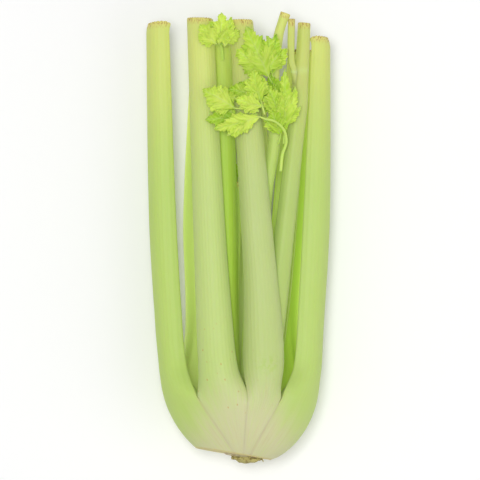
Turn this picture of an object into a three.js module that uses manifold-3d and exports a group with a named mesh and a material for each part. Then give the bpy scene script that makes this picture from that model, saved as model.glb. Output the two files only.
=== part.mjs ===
// A trimmed head of celery lying on its side. The stalks grow from a short solid crown, close round it in a
// bowl, then run side by side to their cut tops. A leafy heart stalk comes up between them.
//
// Millimetres. While it is being built the head has its own axis: +Y runs from the root to the cut tops, +X
// is to the right, +Z is up, and x = z = 0 is the middle of the stalks. At the end it is set down at z = 0.
import * as THREE from "three";
import { mergeVertices } from "three/addons/utils/BufferGeometryUtils.js";
import Module from "manifold-3d";

const wasm = await Module();
wasm.setup();

// ---- Driving dimensions ----------------------------------------------------------------------------------

const GAP = 1; // clear space left between pieces that touch on the real head
const BOWL_HEIGHT = 60; // where the bases have become upright stalks
const BOWL_RADIUS = 56.3; // half the head's width there
const ROOT_RADIUS = 17; // half the width of the bowl at its pole
const BOWL_FULLNESS = 0.66; // exponent of the bowl's side: 0.5 is an ellipse
const BOWL_FLATNESS = 0.76; // the head's depth over its width
const BOWL_LEAN = 11; // how far the root sits above the middle of the head,
const BOWL_SIDE = 2.8; // and to its right
const COLLAR = 45; // where each stalk's base has its full width
const CROTCH = [38, 66]; // heights between which a base turns into a free stalk
const FRONT = 92; // degrees: the side on which the outer bases crowd together at the root
const CROWDING = 0.3; // share of a base's distance from FRONT that is left at the root

const CUT_HEIGHT = 3.5; // the root was cut off by a plane: its height on the head's axis,
const CUT_SLOPE = -0.165; // its rise along +X
const CUT_TILT = 0.1; // and its rise along +Z

const CROWN_TOP = 37.5;
const CROWN_SHARE = 0.5; // the crown's width at the root, as a share of the bowl
const CROWN_SHARE_TOP = 0.78;
const CORE_REACH = 2.2; // how far the stub of the root stands out of the cut
const CORE = { x: 5, z: 11, halfWidth: 12, halfDepth: 9 };

const SIDES_OUT = 9; // points over a stalk's outer face
const SIDES_IN = 7; // points over its channel
const ARC = THREE.MathUtils.degToRad(78); // half the angle that the outer face turns through
const SQUARENESS = 1.25; // over 1, the outer face is flatter and its two flanks are steeper
const MARGIN = 0.4; // share of the wall that is lost towards the stalk's two edges
const CHANNEL_REACH = 0.86; // how near the channel comes to the edges

const LEAF_THICKNESS = 1;
const LEAF_ACROSS = 4;
const LEAF_ALONG = 6;
const STEM_RADIUS = 0.9;

// Depth and wall of a stalk of a given width.
const stalkDepth = (width) => 1.5 + 0.44 * width;
const stalkWall = (width) => 0.3 + 0.25 * width;

// ---- The stalks ------------------------------------------------------------------------------------------
// sector: the part of the bowl that an outer stalk's base covers, in degrees from +X towards +Z.
// way: the middle of the outer face on its way up, as [height, x, z, the way it faces in degrees, width]. An
// outer stalk's way starts at the collar.
// slant: rise of the top cut across the stalk. droop: how far the outer skin curls in at the top cut.

const STALKS = [
  {
    name: "stalk_left",
    sector: [124, 190],
    way: [
      [45, -53.6, 15.5, 157, 33],
      [68, -55.8, 7.5, 157, 30],
      [90, -57.9, 5.5, 157, 29.5],
      [170, -62.2, 6, 152, 27.6],
      [308, -64.4, 6, 150, 22.3],
    ],
    slant: 0.12,
    droop: 2.4,
  },
  {
    name: "stalk_front_left",
    sector: [84.5, 124],
    way: [
      [45, -14.4, 41.6, 103, 34.4],
      [56, -16.4, 42, 102, 31.2],
      [68, -17.7, 42, 101, 28.7],
      [90, -19.2, 42.5, 100, 26.8],
      [170, -23, 42, 98, 22.9],
      [309.5, -28.8, 38, 97, 19],
    ],
    slant: -0.02,
    droop: 0.3,
  },
  {
    name: "stalk_front_right",
    sector: [58.5, 84.5],
    way: [
      [45, 18.9, 40.6, 72, 24.6],
      [56, 19.2, 41.3, 76, 27.6],
      [68, 18.8, 41.5, 80, 29.6],
      [90, 17.8, 42, 83, 28.6],
      [126, 15.5, 42, 85, 24.7],
      [170, 11.6, 42, 88, 22.2],
      [308.5, 0.9, 35, 90, 17],
    ],
    slant: 0,
    droop: 0.8,
  },
  {
    name: "stalk_right",
    sector: [-12, 58.5],
    way: [
      [45, 54.4, 15.5, 23, 33.5],
      [68, 56.5, 7.8, 22, 30.4],
      [90, 57.7, 5.8, 22, 29],
      [170, 61.8, 5, 27, 27.4],
      [298, 62.6, 5, 28, 18],
    ],
    slant: -0.1,
    droop: 2.6,
  },
  {
    name: "stalk_back_right",
    sector: [-62, -12],
    way: [
      [45, 45.7, -25.8, -37, 27.3],
      [90, 35.4, -38.3, -61, 28],
      [170, 38, -42, -72, 25],
      [292, 45, -43, -80, 18],
    ],
    slant: 0.05,
    droop: 0.5,
  },
  {
    name: "stalk_back_middle",
    sector: [-115, -62],
    way: [
      [45, 2.2, -42.8, -88.5, 33.7],
      [90, 2.6, -42.6, -90, 26],
      [170, 8.5, -43, -90, 23],
      [232, 10, -43, -90, 20.5],
      [296, 7, -43, -90, 16],
    ],
    slant: 0.04,
    droop: 0.5,
  },
  {
    name: "stalk_back_left",
    sector: [-170, -115],
    way: [
      [45, -44, -26, -142.5, 29.8],
      [90, -31.6, -38.5, -117, 28],
      [170, -31.5, -42.3, -103, 24],
      [296, -26.5, -43, -95, 18],
    ],
    slant: -0.05,
    droop: 0.5,
  },
  {
    name: "stalk_inner_left",
    way: [
      [38, -9.6, 28, 104, 19],
      [90, -12, 27, 100, 20],
      [170, -11, 26, 95, 18],
      [294, -13, 21, 92, 15],
    ],
    slant: 0.1,
    droop: 0.3,
  },
  {
    name: "stalk_inner_right",
    way: [
      [38, 18, 25, 60, 19],
      [90, 26, 25, 66, 18],
      [170, 34.5, 26, 72, 14.6],
      [225, 40.2, 25.2, 75, 13],
      [250, 43.4, 24, 76, 12.6],
      [307, 45.8, 22, 80, 11.4],
    ],
    slant: -0.1,
    droop: 0.3,
    branch: { from: [41.2, 268, 19], over: [37.7, 281, 20.5], to: [36.4, 309.4, 21], width: 4.6 },
  },
  {
    name: "stalk_inner_back_right",
    way: [
      [38, 17, -24, -70, 20],
      [90, 27, -27, -70, 20],
      [170, 35, -28, -72, 18],
      [284, 43, -29, -76, 14],
    ],
    slant: 0,
    droop: 0.3,
  },
  {
    name: "stalk_inner_back_left",
    way: [
      [38, -14, -24, -110, 20],
      [90, -18, -27, -108, 20],
      [170, -20, -28, -105, 17],
      [240, -19, -28, -102, 14],
    ],
    slant: 0,
    droop: 0.3,
  },
  {
    name: "stalk_leafy",
    way: [
      [38, 6.5, 10, 80, 13],
      [90, 9, 12, 80, 11],
      [150, 16, 18, 80, 10],
      [190, 19.7, 22.6, 80, 9.5],
      [225, 24.5, 25, 85, 9],
      [262, 23.5, 27, 90, 8],
      [297, 26.5, 27, 95, 7.2],
      [313.6, 31.5, 27, 95, 7],
    ],
    slant: -0.35,
    droop: 0.1,
  },
  {
    name: "stalk_heart_left",
    way: [
      [38, -7, 1, 150, 11],
      [110, -7, 0, 150, 9],
      [196, -3, 3, 150, 6],
    ],
    slant: 0,
    droop: 0.1,
  },
  {
    name: "stalk_heart_right",
    way: [
      [38, 7, -9, -50, 11],
      [100, 9, -9, -55, 9],
      [168, 12, -6, -60, 6],
    ],
    slant: 0,
    droop: 0.1,
  },
];

// Heights of a stalk's rings. Up to the bowl's top they are counted from the root cut.
const OUTER_LEVELS = [0, 7, 15, 25, 36, 43, 50, 58, 68, 84, 106, 136, 172, 212, 258];
const INNER_LEVELS = [38, 58, 90, 130, 170, 210, 250, 280, 297];

// ---- The leaves ------------------------------------------------------------------------------------------
// base and tip: the ends of the midrib. roll: turn about the midrib from facing straight up, in degrees.
// arch: rise of the midrib's middle. cup: rise of the two sides above the midrib.

const LEAVES = [
  {
    name: "leaflet_upper",
    base: [19.5, 269, 40.5],
    tip: [1.5, 305, 44],
    width: 28,
    roll: -14,
    arch: 2,
    cup: -1.5,
  },
  {
    name: "leaflet_beside_cut",
    base: [22.5, 272, 35],
    tip: [25.5, 298, 38],
    width: 13,
    roll: 30,
    arch: 1,
    cup: 1,
  },
  {
    name: "leaflet_centre",
    base: [14.5, 251, 47],
    tip: [8.5, 275, 49],
    width: 14,
    roll: 12,
    arch: 2,
    cup: 1.5,
  },
  {
    name: "leaflet_right",
    base: [31, 230, 31],
    tip: [32, 276, 37],
    width: 16,
    roll: -16,
    arch: 3,
    cup: 1.5,
  },
  {
    name: "leaflet_left",
    base: [-3.5, 246, 49],
    tip: [-27, 259.5, 47],
    width: 20,
    roll: -8,
    arch: 3,
    cup: -1.5,
  },
  {
    name: "leaflet_fold",
    base: [14.5, 247, 51],
    tip: [-4.5, 253.5, 53],
    width: 12,
    roll: 10,
    arch: 2,
    cup: 1,
  },
  {
    name: "leaflet_lower",
    base: [13.5, 240, 49],
    tip: [-17, 231, 46.5],
    width: 12,
    roll: 14,
    arch: 3,
    cup: 1,
  },
  {
    name: "leaflet_under",
    base: [-1, 240, 45],
    tip: [-22.5, 236.5, 43.6],
    width: 13,
    roll: -6,
    arch: 0.5,
    cup: -0.5,
  },
  {
    name: "leaflet_behind",
    base: [9, 256, 43],
    tip: [-7, 258.5, 42.5],
    width: 10,
    roll: 0,
    arch: 1,
    cup: -0.5,
  },
  {
    name: "leaflet_curled",
    base: [27, 244, 36],
    tip: [19.5, 260, 40],
    width: 8,
    roll: -28,
    arch: 1.5,
    cup: 1.5,
  },
  {
    name: "leaflet_inside",
    base: [29, 253, 31.5],
    tip: [22, 268, 34],
    width: 9,
    roll: 20,
    arch: 1,
    cup: 1,
  },
  {
    name: "leaflet_low_right",
    base: [28.5, 228, 33],
    tip: [19, 243.5, 37],
    width: 9,
    roll: 18,
    arch: 1.5,
    cup: 1,
  },
  {
    name: "leaflet_tuft_left",
    base: [-17.5, 294.5, 40.8],
    tip: [-28.5, 305, 43],
    width: 12,
    roll: 12,
    arch: 1.5,
    cup: 1,
  },
  {
    name: "leaflet_tuft_middle",
    base: [-16, 296.5, 37.5],
    tip: [-17.5, 313, 42.5],
    width: 12,
    roll: -25,
    arch: 1.5,
    cup: 1,
  },
  {
    name: "leaflet_tuft_right",
    base: [-10.5, 294.5, 35.5],
    tip: [-6.5, 310.5, 38],
    width: 9.5,
    roll: 8,
    arch: 1,
    cup: 1,
  },
  {
    name: "leaflet_heart_left",
    base: [-2, 198, 0.5],
    tip: [-5, 222, 5],
    width: 11,
    roll: 20,
    arch: 1.5,
    cup: 1.5,
  },
  {
    name: "leaflet_heart_right",
    base: [11.5, 170, -8],
    tip: [8, 192, -4],
    width: 11,
    roll: -15,
    arch: 1.5,
    cup: 1.5,
  },
];

// The thin stems that carry the front leaflets, as points along each.
const STEMS = [
  {
    name: "leaf_stem_front",
    route: [[28.5, 203, 27.6], [29.6, 214, 30], [32.3, 223, 34.5], [30.6, 231.2, 39.2], [24.5, 236.8, 44.6],
      [17.3, 238.6, 47.8]],
  },
  {
    name: "leaf_stem_tuft",
    route: [[-12, 281, 24.5], [-12.6, 288, 29], [-14, 293, 35]],
  },
];

// ---- The bowl --------------------------------------------------------------------------------------------

const mix = THREE.MathUtils.lerp;
const smooth = (low, high, value) => THREE.MathUtils.smoothstep(value, low, high);
const rad = THREE.MathUtils.degToRad;

// Half the bowl's width at a height.
function bowlRadius(y) {
  const down = Math.max(0, 1 - y / BOWL_HEIGHT);
  return ROOT_RADIUS + (BOWL_RADIUS - ROOT_RADIUS) * (1 - down * down) ** BOWL_FULLNESS;
}

// The point of the bowl at an angle and a height. share 1 is its outside and 0 its middle.
function bowlPoint(angle, y, share = 1) {
  const radius = bowlRadius(y) * share;
  const down = Math.max(0, 1 - y / BOWL_HEIGHT);
  return new THREE.Vector3(
    BOWL_SIDE * down + radius * Math.cos(rad(angle)),
    y,
    BOWL_LEAN * down * down + BOWL_FLATNESS * radius * Math.sin(rad(angle)),
  );
}

const cutPlane = (x, z) => CUT_HEIGHT + CUT_SLOPE * x + CUT_TILT * (z - BOWL_LEAN);

// Where the root cut meets the bowl at an angle, found by stepping up to it.
function cutHeight(angle, share) {
  let y = CUT_HEIGHT;
  for (let step = 0; step < 12; step++) {
    const at = bowlPoint(angle, Math.max(y, 0.2), share);
    y = mix(y, cutPlane(at.x, at.z), 0.6);
  }
  return Math.max(y, 0.2);
}

// The bowl's point at a level counted from the root cut.
function bowlPointAbove(angle, level, share) {
  const foot = cutHeight(angle, share);
  const y = level < BOWL_HEIGHT ? foot + (level * (BOWL_HEIGHT - foot)) / BOWL_HEIGHT : level;
  return bowlPoint(angle, y, share);
}

// The sides of the bases draw together towards FRONT at the root.
function crowded(angle, level) {
  const turn = THREE.MathUtils.euclideanModulo(angle - FRONT + 180, 360) - 180;
  const lost = (1 - CROWDING) * (1 - Math.min(1, level / COLLAR));
  return angle - turn * lost * (1 - smooth(40, 95, Math.abs(turn)));
}

const crownShare = (level) => mix(CROWN_SHARE, CROWN_SHARE_TOP, smooth(8, COLLAR, level));

// ---- A stalk's section -----------------------------------------------------------------------------------

// Where each point of a section lies: u is -1 and 1 at the two edges, and inside marks the channel.
const SECTION = [
  ...Array.from({ length: SIDES_OUT }, (_, i) => ({ u: mix(-1, 1, i / (SIDES_OUT - 1)), inside: false })),
  ...Array.from({ length: SIDES_IN }, (_, i) => ({ u: mix(1, -1, i / (SIDES_IN - 1)), inside: true })),
];

// A point of a crescent section in its own plane: the outer face's middle is at 0, 0 and faces +y.
function crescent(u, inside, width) {
  const face = (at) => {
    const bulge = (1 - Math.cos(ARC * at)) / (1 - Math.cos(ARC));
    const across = ((width / 2) * Math.sin(ARC * at)) / Math.sin(ARC);
    return new THREE.Vector2(across, -stalkDepth(width) * bulge ** SQUARENESS);
  };
  if (!inside) return face(u);
  const at = u * CHANNEL_REACH;
  const slope = face(at + 0.01).sub(face(at - 0.01));
  const inward = new THREE.Vector2(slope.y, -slope.x).normalize();
  return face(at).addScaledVector(inward, stalkWall(width) * (1 - MARGIN * u * u));
}

// The value of one column of a way at a height, on a smooth curve through its rows.
function along(way, column, y) {
  const last = way.length - 1;
  const slope = (i) => {
    const [a, b] = [way[Math.max(0, i - 1)], way[Math.min(last, i + 1)]];
    return (b[column] - a[column]) / (b[0] - a[0]);
  };
  let i = 0;
  while (i < last - 1 && y > way[i + 1][0]) i++;
  const [a, b] = [way[i], way[i + 1]];
  const step = b[0] - a[0];
  const t = THREE.MathUtils.clamp((y - a[0]) / step, 0, 1);
  return (
    (2 * t ** 3 - 3 * t ** 2 + 1) * a[column] +
    (t ** 3 - 2 * t ** 2 + t) * step * slope(i) +
    (3 * t ** 2 - 2 * t ** 3) * b[column] +
    (t ** 3 - t ** 2) * step * slope(i + 1)
  );
}

// The point of a stalk's free section at a height.
function freePoint(way, y, { u, inside }) {
  const [x, z, facing, width] = [1, 2, 3, 4].map((column) => along(way, column, y));
  const flat = crescent(u, inside, width);
  const [c, s] = [Math.cos(rad(facing)), Math.sin(rad(facing))];
  return new THREE.Vector3(x + s * flat.x + c * flat.y, y, z - c * flat.x + s * flat.y);
}

// The point of an outer stalk's base, which is a sector of the bowl.
function basePoint([from, to], level, { u, inside }) {
  const gap = (GAP / bowlRadius(level + 1)) * (90 / Math.PI);
  const [low, high] = [crowded(from, level) + gap, crowded(to, level) - gap];
  const angle = mix(high, low, (u * (inside ? 0.97 : 1) + 1) / 2);
  return bowlPointAbove(angle, level, inside ? crownShare(level) : 1);
}

// ---- Making solids ---------------------------------------------------------------------------------------

// A closed solid through rings of points. The first ring is the top one, and outline gives the shape that the
// two ends are filled with.
function loft(outline, rings) {
  const blank = new THREE.ExtrudeGeometry(new THREE.Shape(outline), {
    depth: rings.length - 1,
    steps: rings.length - 1,
    bevelEnabled: false,
  });
  const place = blank.getAttribute("position");
  const corner = new THREE.Vector2();
  for (let i = 0; i < place.count; i++) {
    corner.set(place.getX(i), place.getY(i));
    const side = outline.findIndex((point) => point.distanceToSquared(corner) < 1e-6);
    const { x, y, z } = rings[Math.round(place.getZ(i))][side];
    place.setXYZ(i, x, y, z);
  }
  return blank;
}

// The section that a stalk's ends are filled as.
const STALK_OUTLINE = SECTION.map(({ u, inside }) => crescent(u, inside, 24));

function stalkRings({ sector, way, slant, droop }) {
  const top = way.at(-1)[0];
  const levels = (sector ? OUTER_LEVELS : INNER_LEVELS).filter((level) => level < top - 9);
  const rings = [...levels, top - 7, top].map((level) =>
    SECTION.map((spot) => {
      const point = freePoint(way, Math.max(level, way[0][0]), spot);
      if (!sector) return point;
      const loose = smooth(...CROTCH, level);
      return basePoint(sector, level, spot).lerp(point, loose);
    }),
  );
  // The top cut slopes across the stalk, and the skin curls in at it.
  const facing = rad(way.at(-1)[3]);
  const cut = rings.at(-1);
  const [x, z] = [way.at(-1)[1], way.at(-1)[2]];
  cut.forEach((point, i) => {
    point.y += slant * ((point.x - x) * Math.sin(facing) - (point.z - z) * Math.cos(facing));
    const curl = SECTION[i].inside ? 0 : droop;
    point.x -= curl * Math.cos(facing);
    point.z -= curl * Math.sin(facing);
  });
  return rings.reverse();
}

// Points evenly spaced round a circle, in the order that a ring takes them.
const circle = (sides) =>
  Array.from({ length: sides }, (_, i) => {
    const turn = (2 * Math.PI * i) / sides;
    return new THREE.Vector2(Math.cos(turn), Math.sin(turn));
  });

function solidOf(geometry) {
  const bare = geometry.clone().deleteAttribute("normal").deleteAttribute("uv");
  const merged = mergeVertices(bare, 1e-4);
  return new wasm.Manifold(
    new wasm.Mesh({
      numProp: 3,
      vertProperties: new Float32Array(merged.attributes.position.array),
      triVerts: new Uint32Array(merged.index.array),
    }),
  );
}

function geometryOf(solid) {
  const { vertProperties, triVerts } = solid.getMesh();
  return new THREE.BufferGeometry()
    .setAttribute("position", new THREE.BufferAttribute(vertProperties, 3))
    .setIndex(new THREE.BufferAttribute(triVerts, 1));
}

// A round stem of one thickness along a smooth curve.
function stem(route, radius, steps) {
  const curve = new THREE.CatmullRomCurve3(route.map((point) => new THREE.Vector3(...point)));
  const section = new THREE.Shape(circle(8).map((point) => point.multiplyScalar(radius)));
  return new THREE.ExtrudeGeometry(section, { extrudePath: curve, steps, bevelEnabled: false });
}

function stalk(plan) {
  const main = loft(STALK_OUTLINE, stalkRings(plan));
  if (!plan.branch) return main;
  const { from, over, to, width } = plan.branch;
  return geometryOf(solidOf(main).add(solidOf(stem([from, over, to], width / 2, 6))));
}

// ---- The crown and the root stub -------------------------------------------------------------------------

function crown() {
  const sides = circle(20);
  const levels = [CROWN_TOP, 31, 22, 12, 0];
  const rings = levels.map((level) =>
    sides.map(({ x, y }) => {
      const angle = THREE.MathUtils.radToDeg(Math.atan2(y, x));
      const share = crownShare(level) - (1.6 * GAP) / bowlRadius(level + 3);
      return bowlPointAbove(angle, level, level === CROWN_TOP ? share * 0.94 : share);
    }),
  );
  // The top is level, so that the inner stalks can stand on it.
  rings[0].forEach((point) => (point.y = CROWN_TOP));
  return loft(sides, rings);
}

function rootStub() {
  const sides = circle(14);
  // Each row: the share of the stub's width, how far below the cut it lies and how ragged its edge is.
  const rows = [[1, GAP, 0.04], [1.03, 1.2, 0.08], [0.86, CORE_REACH, 0.16]];
  const rings = rows.map(([share, drop, ragged]) =>
    sides.map((side, i) => {
      const reach = share * (1 + ragged * Math.sin(5 * i));
      const x = CORE.x + CORE.halfWidth * reach * side.x;
      const z = CORE.z + CORE.halfDepth * reach * side.y;
      return new THREE.Vector3(x, cutPlane(x, z) - drop, z);
    }),
  );
  return loft(sides, rings);
}

// ---- A leaflet -------------------------------------------------------------------------------------------

// Half the blade's width along the midrib, as a share: narrow at the stem, widest before the middle, pointed.
const bladeShare = (v) => 0.12 + 0.88 * Math.sin(Math.PI * v ** 0.75) ** 0.7 * (1 - 0.35 * v);

function leaflet({ base, tip, width, roll, arch, cup }) {
  const start = new THREE.Vector3(...base);
  const rib = new THREE.Vector3(...tip).sub(start);
  const forward = rib.clone().normalize();
  const face = new THREE.Vector3(0, 0, 1).addScaledVector(forward, -forward.z).normalize();
  face.applyAxisAngle(forward, rad(roll));
  const side = new THREE.Vector3().crossVectors(forward, face);
  const blade = new THREE.BoxGeometry(2, 1, LEAF_THICKNESS, LEAF_ACROSS, LEAF_ALONG, 1);
  const place = blade.getAttribute("position");
  const point = new THREE.Vector3();
  for (let i = 0; i < place.count; i++) {
    const [u, v] = [place.getX(i), place.getY(i) + 0.5];
    const lift = 4 * arch * v * (1 - v) + cup * u * u * bladeShare(v) + place.getZ(i);
    point.copy(start).addScaledVector(rib, v);
    point.addScaledVector(side, (u * bladeShare(v) * width) / 2).addScaledVector(face, lift);
    place.setXYZ(i, point.x, point.y, point.z);
  }
  return blade;
}

// ---- The whole head --------------------------------------------------------------------------------------

const SKIN = new THREE.MeshStandardMaterial({ color: 0xc3d788, roughness: 0.42, metalness: 0 });
const PALE_SKIN = new THREE.MeshStandardMaterial({ color: 0xbcd07c, roughness: 0.42, metalness: 0 });
const CROWN_FLESH = new THREE.MeshStandardMaterial({ color: 0xd0cda0, roughness: 0.55, metalness: 0 });
const ROOT_BROWN = new THREE.MeshStandardMaterial({ color: 0x9c8152, roughness: 0.85, metalness: 0 });
const LEAF = new THREE.MeshStandardMaterial({ color: 0xa6cf35, roughness: 0.5, metalness: 0 });

const head = new THREE.Group();

function addPiece(name, geometry, material) {
  const mesh = new THREE.Mesh(geometry, material);
  mesh.name = name;
  head.add(mesh);
}

STALKS.forEach((plan) => addPiece(plan.name, stalk(plan), plan.sector ? SKIN : PALE_SKIN));
addPiece("crown", crown(), CROWN_FLESH);
addPiece("root_stub", rootStub(), ROOT_BROWN);
LEAVES.forEach((plan) => addPiece(plan.name, leaflet(plan), LEAF));
STEMS.forEach(({ name, route }) => addPiece(name, stem(route, STEM_RADIUS, 12), PALE_SKIN));

// The head is set down with the middle of its box over the origin and its lowest point on z = 0.
const box = new THREE.Box3().setFromObject(head);
const middle = box.getCenter(new THREE.Vector3());
head.position.set(-middle.x, -middle.y, -box.min.z);

export default head;
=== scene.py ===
import math
from collections import namedtuple

import bpy
import numpy as np
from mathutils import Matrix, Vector


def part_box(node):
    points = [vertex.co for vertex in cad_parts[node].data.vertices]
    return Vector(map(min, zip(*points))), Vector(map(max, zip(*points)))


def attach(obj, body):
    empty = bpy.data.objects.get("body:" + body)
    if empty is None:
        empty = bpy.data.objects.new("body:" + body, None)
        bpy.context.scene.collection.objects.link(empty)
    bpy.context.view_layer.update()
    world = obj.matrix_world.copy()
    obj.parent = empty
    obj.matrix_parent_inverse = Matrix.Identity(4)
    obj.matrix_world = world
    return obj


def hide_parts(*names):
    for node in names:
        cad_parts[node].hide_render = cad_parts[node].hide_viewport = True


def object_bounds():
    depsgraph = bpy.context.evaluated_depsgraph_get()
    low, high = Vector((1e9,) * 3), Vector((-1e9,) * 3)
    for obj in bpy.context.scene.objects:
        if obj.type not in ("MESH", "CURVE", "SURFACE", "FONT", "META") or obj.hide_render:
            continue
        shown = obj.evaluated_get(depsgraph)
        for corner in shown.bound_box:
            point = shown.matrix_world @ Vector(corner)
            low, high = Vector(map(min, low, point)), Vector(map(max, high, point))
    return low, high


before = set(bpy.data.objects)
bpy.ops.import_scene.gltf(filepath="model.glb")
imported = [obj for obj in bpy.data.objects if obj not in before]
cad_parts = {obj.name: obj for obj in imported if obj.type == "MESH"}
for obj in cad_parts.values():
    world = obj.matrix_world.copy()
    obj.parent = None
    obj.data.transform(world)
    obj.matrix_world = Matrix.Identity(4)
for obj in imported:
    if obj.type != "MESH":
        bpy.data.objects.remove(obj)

CAD_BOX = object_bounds()

bl_info = {
    "name": "Head of Celery",
    "version": (1, 0, 0),
    "blender": (4, 5, 0),
    "location": "3D View > Sidebar > Celery",
    "description": "Models the stalks, crown, root stub and heart leaves of a trimmed head of celery",
    "category": "Add Mesh",
}

# The head is laid out in millimetres on its own axis, as its frame is: +Y runs from the root to the cut tops.
# The frame stands the middle of its box over the origin, which moves every point by SET_DOWN.
MM = 0.001

BOWL_HEIGHT = 60
BOWL_RADIUS = 56.3  # at its top
ROOT_RADIUS = 17  # at its pole
BOWL_FULLNESS = 0.66
BOWL_FLATNESS = 0.76  # depth over width
BOWL_LEAN = 11  # how far the pole sits above the middle
BOWL_SIDE = 2.8  # and to its right
COLLAR = 45  # where each base has its full width
CROTCH = 38, 66  # where a base turns into a free stalk
FRONT = 92  # the bases crowd together on this side at the root, in degrees
CROWDING = 0.3  # the share of their angles from FRONT that they keep there
CUT_HEIGHT = 3.5  # the plane of the root cut: its height,
CUT_SLOPE = -0.165  # its rise along +X
CUT_TILT = 0.1  # and its rise along +Z
CROWN_TOP = 37.5
CROWN_SHARE = 0.5  # of the bowl's width, at the root
CROWN_SHARE_TOP = 0.78  # and at the collar
ARC = math.radians(78)  # half the turn of a stalk's outer face
SQUARENESS = 1.25
MARGIN = 0.4  # the share of the wall lost at the edges
CHANNEL_REACH = 0.86  # the channel's width over the outer face's

# How a stalk looks: the rise of its top cut across it, how far its skin curls in there, how green it is, from
# 0 to 1 and on to 2 for the lime of the shaded stalks, how spotted its base is, its lightness, which on the
# inner left stalk is painted shade under the leaves, and the strength of a painted glow that stands in for
# the light coming through it.
Look = namedtuple("Look", "slant droop green spots lightness glow")

# Each stalk: the sector of the bowl that its base covers, in degrees, or None for an inner stalk; its way up,
# as (height, x, z, the way it faces, width); and its look.
STALKS = {
    "stalk_left": (
        (124, 190),
        [(45, -53.6, 15.5, 157, 33), (68, -55.8, 7.5, 157, 30), (90, -57.9, 5.5, 157, 29.5),
         (170, -62.2, 6, 152, 27.6), (308, -64.4, 6, 150, 22.3)],
        Look(0.12, 1.3, 0.7, 0.1, 1, 0.03),
    ),
    "stalk_front_left": (
        (84.5, 124),
        [(45, -14.4, 41.6, 103, 34.4), (56, -16.4, 42, 102, 31.2), (68, -17.7, 42, 101, 28.7),
         (90, -19.2, 42.5, 100, 26.8), (170, -23, 42, 98, 22.9), (309.5, -28.8, 38, 97, 19)],
        Look(-0.02, 0.3, 0.3, 1, 1, 0),
    ),
    "stalk_front_right": (
        (58.5, 84.5),
        [(45, 18.9, 40.6, 72, 24.6), (56, 19.2, 41.3, 76, 27.6), (68, 18.8, 41.5, 80, 29.6),
         (90, 17.8, 42, 83, 28.6), (126, 15.5, 42, 85, 24.7), (170, 11.6, 42, 88, 22.2),
         (308.5, 0.9, 35, 90, 17)],
        Look(0, 0.8, 0.1, 0.2, 0.93, 0),
    ),
    "stalk_right": (
        (-12, 58.5),
        [(45, 54.4, 15.5, 23, 33.5), (68, 56.5, 7.8, 22, 30.4), (90, 57.7, 5.8, 22, 29),
         (170, 61.8, 5, 27, 27.4), (298, 62.6, 5, 28, 18)],
        Look(-0.1, 1.6, 0.6, 0.1, 1, 0),
    ),
    "stalk_back_right": (
        (-62, -12),
        [(45, 45.7, -25.8, -37, 27.3), (90, 35.4, -38.3, -61, 28), (170, 38, -42, -72, 25),
         (292, 45, -43, -80, 18)],
        Look(0.05, 0.5, 1.35, 0.3, 1, 0.22),
    ),
    "stalk_back_middle": (
        (-115, -62),
        [(45, 2.2, -42.8, -88.5, 33.7), (90, 2.6, -42.6, -90, 26), (170, 8.5, -43, -90, 23),
         (232, 10, -43, -90, 20.5), (296, 7, -43, -90, 16)],
        Look(0.04, 0.5, 0.4, 0.6, 1, 0.12),
    ),
    "stalk_back_left": (
        (-170, -115),
        [(45, -44, -26, -142.5, 29.8), (90, -31.6, -38.5, -117, 28), (170, -31.5, -42.3, -103, 24),
         (296, -26.5, -43, -95, 18)],
        Look(-0.05, 0.5, 0.5, 0.3, 1, 0.3),
    ),
    "stalk_inner_left": (
        None,
        [(38, -9.6, 28, 104, 19), (90, -12, 27, 100, 20), (170, -11, 26, 95, 18), (294, -13, 21, 92, 15)],
        Look(0.1, 0.3, 1.7, 0, 0.93, 0.03),
    ),
    "stalk_inner_right": (
        None,
        [(38, 18, 25, 60, 19), (90, 26, 25, 66, 18), (170, 34.5, 26, 72, 14.6),
         (225, 40.2, 25.2, 75, 13), (250, 43.2, 24, 76, 12.6), (268, 43.7, 23.4, 77, 12.2),
         (286, 45.1, 22.6, 79, 10), (307, 46, 22, 80, 9.2)],
        Look(-0.1, 0.3, 0.5, 0, 0.9, 0),
    ),
    "stalk_inner_back_right": (
        None,
        [(38, 17, -24, -70, 20), (90, 27, -27, -70, 20), (170, 35, -28, -72, 18),
         (284, 43, -29, -76, 14)],
        Look(0, 0.3, 0.9, 0, 1, 0.15),
    ),
    "stalk_inner_back_left": (
        None,
        [(38, -14, -24, -110, 20), (90, -18, -27, -108, 20), (170, -20, -28, -105, 17),
         (240, -19, -28, -102, 14)],
        Look(0, 0.3, 0.9, 0, 1, 0.15),
    ),
    "stalk_leafy": (
        None,
        [(38, 6.5, 10, 80, 13), (90, 9, 12, 80, 11), (150, 16, 18, 80, 10), (190, 19.7, 22.6, 80, 9.5),
         (225, 24.5, 25, 85, 9), (262, 23.5, 27, 90, 8), (297, 26.5, 27, 95, 7.2),
         (313.6, 31.5, 27, 95, 7)],
        Look(-0.35, 0.1, 0.7, 0, 0.95, 0.05),
    ),
    "stalk_heart_left": (
        None,
        [(38, -7, 1, 150, 11), (110, -7, 0, 150, 9), (196, -3, 3, 150, 6)],
        Look(0, 0.1, 1, 0, 1, 0.1),
    ),
    "stalk_heart_right": (
        None,
        [(38, 7, -9, -50, 11), (100, 9, -9, -55, 9), (168, 12, -6, -60, 6)],
        Look(0, 0.1, 1, 0, 1, 0.1),
    ),
}

# The side branch of a stalk: where it leaves, bends and ends, and its width.
BRANCHES = {
    "stalk_inner_right": ([(42, 262, 19.5), (38.4, 273, 20.6), (35.9, 283, 21), (36.2, 309.4, 21)], 5),
}

# The heights of the pale rings round the stalks that have them.
RINGS = {"stalk_inner_right": 272.5, "stalk_inner_left": 292.5}

# The places of faint green smudges, as the distance from a stalk's middle, the height and the reach.
SMUDGES = {"stalk_front_right": (1.1, 69, 5)}

# The stalks that end under leaves, where the cut stays fresh.
COVERED = ["stalk_inner_left"]

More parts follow.
